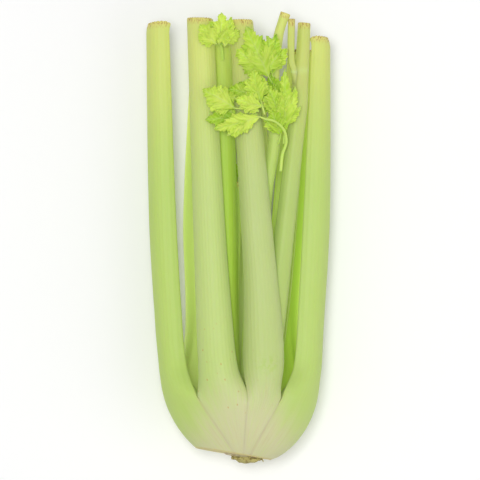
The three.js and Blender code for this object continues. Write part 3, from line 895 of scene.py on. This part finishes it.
def skin_material(settings):
    """Celery skin: blanched at the base, green above, yellow at the top, with fibres and small rust spots."""
    g = Graph("celery_skin")
    level, across, inside = g.attribute("level"), g.attribute("across"), g.attribute("inside")
    ridge, green = g.attribute("ridge"), g.attribute("green")
    below_cut, above_root = g.attribute("below_cut"), g.attribute("above_root")
    fibre_place = g.point(across, level * 0.012, inside)
    fibres = g.noise(fibre_place, 1.6, 4.0, 0.6)
    broad = g.noise(fibre_place, 0.28, 2.0)
    mottle = g.noise(g.stretched(g.place(), 60, 25, 60), 1.0, 3.0)

    raised = level + (broad - 0.5) * 26
    body = g.mix(green, rgba(settings.pale), rgba(settings.green))
    body = g.mix(green - 1, body, rgba(settings.lime))
    shaded = g.value("ShaderNodeClamp", None, Value=(green - 0.6) * 0.9)
    body = g.mix(inside * shaded, body, rgba(settings.lime, 1.05))
    body = g.mix(g.step(raised, 180, 310) * (0.95 - shaded * 0.45), body, rgba(settings.top))
    rooted = g.attribute("from_root") + (broad - 0.5) * 30
    body = g.mix(g.step(rooted, 26, 74), rgba(settings.cream), body)
    streaks = g.noise(g.point(across, level * 0.03, green * 9), 1.1, 3.0, 0.6)
    at_base = 1 - g.step(rooted, 30, 84)
    body = g.mix(g.step(streaks, 0.5, 0.72) * at_base * 0.3, body, rgba(settings.blush))
    body = g.mix((1 - g.step(streaks, 0.3, 0.46)) * at_base * 0.35, body, rgba(settings.green, 1.1))
    body = g.mix(g.attribute("ring") * 0.85, body, rgba(settings.pale, 1.3))
    # A faint darker pinkish-brown line along the seams between the bases, under 52 mm: their own tint
    # together with painted shade in the creases.
    body = g.mix(g.attribute("seam") * (1 - g.step(level, 40, 52)) * 0.2, body, rgba(settings.blush, 0.9))
    body = g.mix((ridge * 0.2 + (fibres - 0.35) * 0.9) * 0.34, body, rgba(settings.pale, 1.12))
    body = g.mix((mottle - 0.4) * 0.35, body, rgba(settings.green, 0.95))

    speck_place = g.point(across * 0.34, level * 0.16, 0)
    speck = g.value("ShaderNodeTexVoronoi", None, "Distance", Vector=speck_place, Scale=1.0, Randomness=1.0)
    speckled = (1 - g.step(speck, 0.04, 0.18)) * g.step(g.noise(speck_place, 0.9, 1.0), 0.42, 0.52)
    speckled = speckled * g.attribute("spots") * g.step(level, 12, 30) * (1 - g.step(level, 75, 110))
    body = g.mix(speckled * 0.65, body, rgba(settings.rust, 1.15))
    blotch = g.noise(g.stretched(g.place(), 300, 300, 300), 1.0, 2.0)
    body = g.mix(g.attribute("smudge") * g.step(blotch, 0.42, 0.6) * 0.6, body, rgba(settings.green, 0.98))

    # Painted shade on the inner left stalk, and darkening on the other stalks with a lightness under 1.
    body = g.mix(g.attribute("shade"), body, (0, 0, 0, 1))
    rough_cut = below_cut + (fibres - 0.5) * 3
    flecks = g.noise(g.stretched(g.place(), 1500, 420, 1500), 1.0, 2.0)
    body = g.mix((1 - g.step(rough_cut, 0.3, 6)) * 0.45, body, rgba(settings.dried, 1.25))
    body = g.mix((1 - g.step(rough_cut, -0.2, 0.9)) * 0.5, body, rgba(settings.dried, 0.75))
    flecked = (1 - g.step(below_cut, 0.5, 6)) * g.step(flecks, 0.52, 0.6)
    body = g.mix(flecked * 0.85, body, rgba(settings.rust, 0.8))
    at_root = 1 - g.step(above_root + (fibres - 0.5) * 2, 0.2, 1.6)
    body = g.mix(at_root * 0.6, body, rgba(settings.dried, 0.9))
    relief = fibres * 0.5 + g.noise(g.stretched(g.place(), 900, 500, 900), 1.0, 3.0) * 0.35
    # The emission is a painted glow of the skin colour mixed with the yellow green. It stands in for light
    # coming through the back and inner stalks.
    return g.finish(
        **{
            "Base Color": body,
            "Roughness": 0.46 + fibres * 0.16,
            "Normal": g.bump(relief, 0.00012, 0.6),
            "Emission Color": g.mix(g.attribute("glow"), (0, 0, 0, 1), g.mix(0.6, body, rgba(settings.top))),
            "Emission Strength": 1.0,
            "Subsurface Weight": 0.3,
            "Subsurface Radius": (0.7, 1.0, 0.25),
            "Subsurface Scale": 0.005,
            "Specular IOR Level": 0.25,
        }
    )


def leaf_material(settings):
    """A thin bright leaf with pale veins."""
    g = Graph("celery_leaf")
    vein = g.attribute("vein")
    place = g.place()
    patches = g.noise(g.stretched(place, 90, 90, 90), 1.0, 3.0)
    cells = g.noise(g.stretched(place, 1200, 1200, 1200), 1.0, 2.0)
    # The pale attribute holds each leaflet's own paleness together with the painted light on its ruffles.
    shade = g.attribute("pale") + (patches - 0.5) * 0.7 + (g.attribute("edge") - 0.5) * 0.12
    body = g.mix(g.step(shade, 0, 1), rgba(settings.deep), rgba(settings.bright))
    body = g.mix(vein * 0.42, body, rgba(settings.vein))
    return g.finish(
        **{
            "Base Color": body,
            "Roughness": 0.42 + cells * 0.15,
            "Normal": g.bump(vein * 0.6 + cells * 0.35, 0.00015, 0.6),
            "Subsurface Weight": 0.25,
            "Subsurface Radius": (0.6, 1.0, 0.2),
            "Subsurface Scale": 0.003,
            "Specular IOR Level": 0.22,
        }
    )


def crown_material(settings):
    """The crown's moist cut flesh, with dried rims."""
    g = Graph("crown_flesh")
    place = g.place()
    rings = g.noise(g.stretched(place, 260, 120, 260), 1.0, 4.0, 0.6)
    grain = g.noise(g.stretched(place, 1500, 1500, 1500), 1.0, 3.0)
    near_cut = 1 - g.step(g.attribute("above_root"), 0.4, 3)
    body = g.mix(g.step(rings, 0.42, 0.66) * near_cut, rgba(settings.flesh), rgba(settings.edge))
    return g.finish(
        **{
            "Base Color": body,
            "Roughness": 0.5 + grain * 0.25,
            "Normal": g.bump(rings * 0.6 + grain * 0.4, 0.0004, 0.7),
            "Subsurface Weight": 0.15,
            "Subsurface Radius": (1.0, 0.9, 0.5),
            "Subsurface Scale": 0.003,
        }
    )


def root_material(settings):
    """Dry brown fibres and dark hollows."""
    g = Graph("root_fibre")
    place = g.place()
    fibres = g.noise(g.stretched(place, 900, 260, 900), 1.0, 5.0, 0.65)
    lumps = g.noise(g.stretched(place, 260, 260, 260), 1.0, 3.0)
    raised = g.step(lumps * 0.6 + fibres * 0.5, 0.38, 0.56)
    body = g.mix(raised, rgba(settings.root_dark), rgba(settings.root))
    body = g.mix(g.step(fibres, 0.56, 0.74) * 0.7, body, (0.5, 0.38, 0.17, 1))
    return g.finish(
        **{"Base Color": body, "Roughness": 0.78 + fibres * 0.2, "Normal": g.bump(fibres, 0.0006, 0.9)}
    )


# ---- Crown and root stub ---------------------------


def make_crown(material):
    """The solid heel that the stalks grow from."""
    levels = np.array([0, 0.6, 3, 7, 12, 18, 24, 30, 34, 36.5, CROWN_TOP])
    piece = roll_up("crown", crown_points(96, levels, 0.25), inset=2.2)
    at = places(piece)
    write(piece, "above_root", np.clip(at[:, 1] - cut_plane(at[:, 0], at[:, 2]), 0, 40))
    return finish(piece, material, "crown")


def make_root_stub(material):
    """The ragged brown remnant of the root, left in the middle of the cut."""
    draw = np.random.default_rng(4)
    low, high = (np.array(c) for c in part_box("root_stub"))
    middle, size = (low + high) / 2, high - low
    bpy.ops.mesh.primitive_uv_sphere_add(segments=72, ring_count=36, radius=0.5, location=tuple(middle))
    piece = bpy.context.object
    piece.name = piece.data.name = "root_stub"
    bpy.ops.object.mode_set(mode="EDIT")
    bpy.ops.mesh.select_all(action="SELECT")
    bpy.ops.transform.resize(value=(size[0] * 0.9, size[1] * 1.1, size[2] * 0.9))
    bpy.ops.object.mode_set(mode="OBJECT")
    bpy.ops.object.transform_apply(location=True, rotation=True, scale=True)
    lumps = bpy.data.textures.new("root_lumps", "CLOUDS")
    lumps.noise_scale = 0.0045
    lumps.noise_depth = 4
    rough = piece.modifiers.new("lumps", "DISPLACE")
    rough.texture = lumps
    rough.texture_coords = "LOCAL"
    rough.strength = 0.005
    rough.mid_level = 0.6
    only(piece)
    bpy.ops.object.modifier_apply(modifier="lumps")
    rootlets = []
    for turn in np.linspace(0, 2 * math.pi, 9, endpoint=False):
        reach = draw.uniform(0.55, 0.85)
        x = middle[0] / MM - SET_DOWN[0] + size[0] / MM / 2 * reach * math.cos(turn)
        z = middle[2] / MM - SET_DOWN[2] + size[2] / MM / 2 * reach * math.sin(turn)
        y = cut_plane(x, z)
        out = np.array((math.cos(turn), 0, math.sin(turn)))
        start = np.array((x, y + 0.5, z))
        end = start + out * draw.uniform(0.6, 1.8) + (0, -draw.uniform(1.6, 2.6), 0)
        radius = draw.uniform(0.5, 0.9) * np.linspace(1.2, 0.5, 10)
        rings = stem_points([start, blend(start, end, 0.5), end], radius, 10, 10)
        rootlets.append(roll_up("rootlet", rings, inset=0))
    only(piece)
    for rootlet in rootlets:
        rootlet.select_set(True)
    bpy.ops.object.join()
    return finish(piece, material, "root_stub", 60)


# ---- Stage -----------------------------------------

# Places and sizes in metres. The head lies a touch left of and above the middle of the view.
SOFTBOX_PLACE, SOFTBOX_SIZE = (-0.15, 0.12, 2.7), 0.6
FILL_PLACE, FILL_SIZE, FILL_SHARE = (1.3, -0.6, 1.5), 1.4, 0.15
SKY_STRENGTH = 0.45
VIEW_SHIFT = 0.0011, -0.0017
SENSOR = 24  # millimetres
FLOOR_HEIGHT = -0.0004


def area_light(name, place, target, size, power):
    bpy.ops.object.light_add(type="AREA", location=place)
    light = bpy.context.object
    light.name = name
    light.data.shape = "SQUARE"
    light.data.size = size
    light.data.energy = power
    light.rotation_euler = (Vector(target) - Vector(place)).to_track_quat("-Z", "Y").to_euler()
    return light


# ---- Operators -------------------------------------


class CELERY_OT_stalks(bpy.types.Operator):
    """Models every stalk: a ribbed, channelled sweep with a blanched base and a dried top cut"""

    bl_idname = "celery.stalks"
    bl_label = "Stalks"

    def execute(self, context):
        settings = context.scene.celery_stalks
        material = skin_material(settings)
        for name in STALKS:
            make_stalk(name, settings, material)
        return {"FINISHED"}


class CELERY_OT_crown(bpy.types.Operator):
    """Models the crown that the stalks grow from, and the root stub left in its cut face"""

    bl_idname = "celery.crown"
    bl_label = "Crown and root stub"

    def execute(self, context):
        settings = context.scene.celery_crown
        make_crown(crown_material(settings))
        make_root_stub(root_material(settings))
        return {"FINISHED"}


class CELERY_OT_leaflets(bpy.types.Operator):
    """Models the lobed, toothed leaflets, each with its own stem"""

    bl_idname = "celery.leaflets"
    bl_label = "Leaflets"

    def execute(self, context):
        settings = context.scene.celery_leaves
        material = leaf_material(settings)
        for name in LEAFLETS:
            make_leaflet(name, settings, material)
        return {"FINISHED"}


class CELERY_OT_leaf_stems(bpy.types.Operator):
    """Models the thin stems that carry the leaflets"""

    bl_idname = "celery.leaf_stems"
    bl_label = "Leaf stems"

    def execute(self, context):
        material = leaf_material(context.scene.celery_leaves)
        for name, route in LEAF_STEMS.items():
            piece = roll_up(name, stem_points(route, 0.95 * np.linspace(1.2, 0.8, 60), 60, 20))
            write_stem(piece, 0.7)
            finish(piece, material, name, 60)
        return {"FINISHED"}


class CELERY_OT_stage(bpy.types.Operator):
    """Sets the white floor, the soft lights and the camera that looks straight down"""

    bl_idname = "celery.stage"
    bl_label = "Stage"

    def execute(self, context):
        settings = context.scene.celery_stage
        bpy.ops.mesh.primitive_plane_add(size=8, location=(0, 0, FLOOR_HEIGHT))
        floor = context.object
        floor.name = floor.data.name = "floor"
        g = Graph("floor_white")
        grain = g.noise(g.stretched(g.place(), 40, 40, 40), 1.0, 2.0)
        white = g.finish(**{"Base Color": rgba(settings.floor), "Roughness": 0.7 + grain * 0.1})
        floor.data.materials.append(white)

        low, high = (Vector(c) for c in CAD_BOX)
        middle = (low + high) / 2
        area_light("softbox", SOFTBOX_PLACE, middle, SOFTBOX_SIZE, settings.softbox_power)
        area_light("fill", FILL_PLACE, middle, FILL_SIZE, settings.softbox_power * FILL_SHARE)
        world = context.scene.world or bpy.data.worlds.new("studio")
        context.scene.world = world
        world.use_nodes = True
        sky = world.node_tree.nodes["Background"].inputs
        sky["Color"].default_value = (1, 1, 1, 1)
        sky["Strength"].default_value = SKY_STRENGTH

        view_height = settings.margin * (high.y - low.y)
        shift_x, shift_y = VIEW_SHIFT
        place = (middle.x + shift_x, middle.y + shift_y, settings.camera_height)
        bpy.ops.object.camera_add(location=place)
        camera = context.object
        camera.rotation_euler = (0, 0, 0)
        camera.data.sensor_fit = "VERTICAL"
        camera.data.sensor_height = SENSOR
        camera.data.lens = SENSOR * (settings.camera_height - middle.z) / view_height
        camera.data.clip_end = 20
        context.scene.camera = camera
        context.scene.view_settings.view_transform = "Standard"
        return {"FINISHED"}


class CELERY_PT_panel(bpy.types.Panel):
    """Lists the pieces of the head, with their sizes and colours"""

    bl_idname = "CELERY_PT_panel"
    bl_label = "Head of Celery"
    bl_space_type = "VIEW_3D"
    bl_region_type = "UI"
    bl_category = "Celery"

    def draw(self, context):
        for operators, group in PANEL_ROWS:
            box = self.layout.box()
            for operator in operators:
                box.operator(operator.bl_idname)
            settings = getattr(context.scene, group)
            for key in settings.__annotations__:
                box.prop(settings, key)


SETTINGS = {
    "celery_stalks": StalkSettings,
    "celery_crown": CrownSettings,
    "celery_leaves": LeafSettings,
    "celery_stage": StageSettings,
}
PANEL_ROWS = [
    ([CELERY_OT_stalks], "celery_stalks"),
    ([CELERY_OT_crown], "celery_crown"),
    ([CELERY_OT_leaflets, CELERY_OT_leaf_stems], "celery_leaves"),
    ([CELERY_OT_stage], "celery_stage"),
]
OPERATORS = [CELERY_OT_stalks, CELERY_OT_crown, CELERY_OT_leaflets, CELERY_OT_leaf_stems, CELERY_OT_stage]


def register():
    for group in SETTINGS.values():
        bpy.utils.register_class(group)
    for operator in OPERATORS:
        bpy.utils.register_class(operator)
    bpy.utils.register_class(CELERY_PT_panel)
    for name, group in SETTINGS.items():
        setattr(bpy.types.Scene, name, bpy.props.PointerProperty(type=group))


def unregister():
    for name in SETTINGS:
        delattr(bpy.types.Scene, name)
    bpy.utils.unregister_class(CELERY_PT_panel)
    for operator in reversed(OPERATORS):
        bpy.utils.unregister_class(operator)
    for group in reversed(SETTINGS.values()):
        bpy.utils.unregister_class(group)


def main():
    register()
    bpy.ops.celery.stalks()
    bpy.ops.celery.crown()
    bpy.ops.celery.leaflets()
    bpy.ops.celery.leaf_stems()
    bpy.ops.celery.stage()


if __name__ == "__main__":
    main()
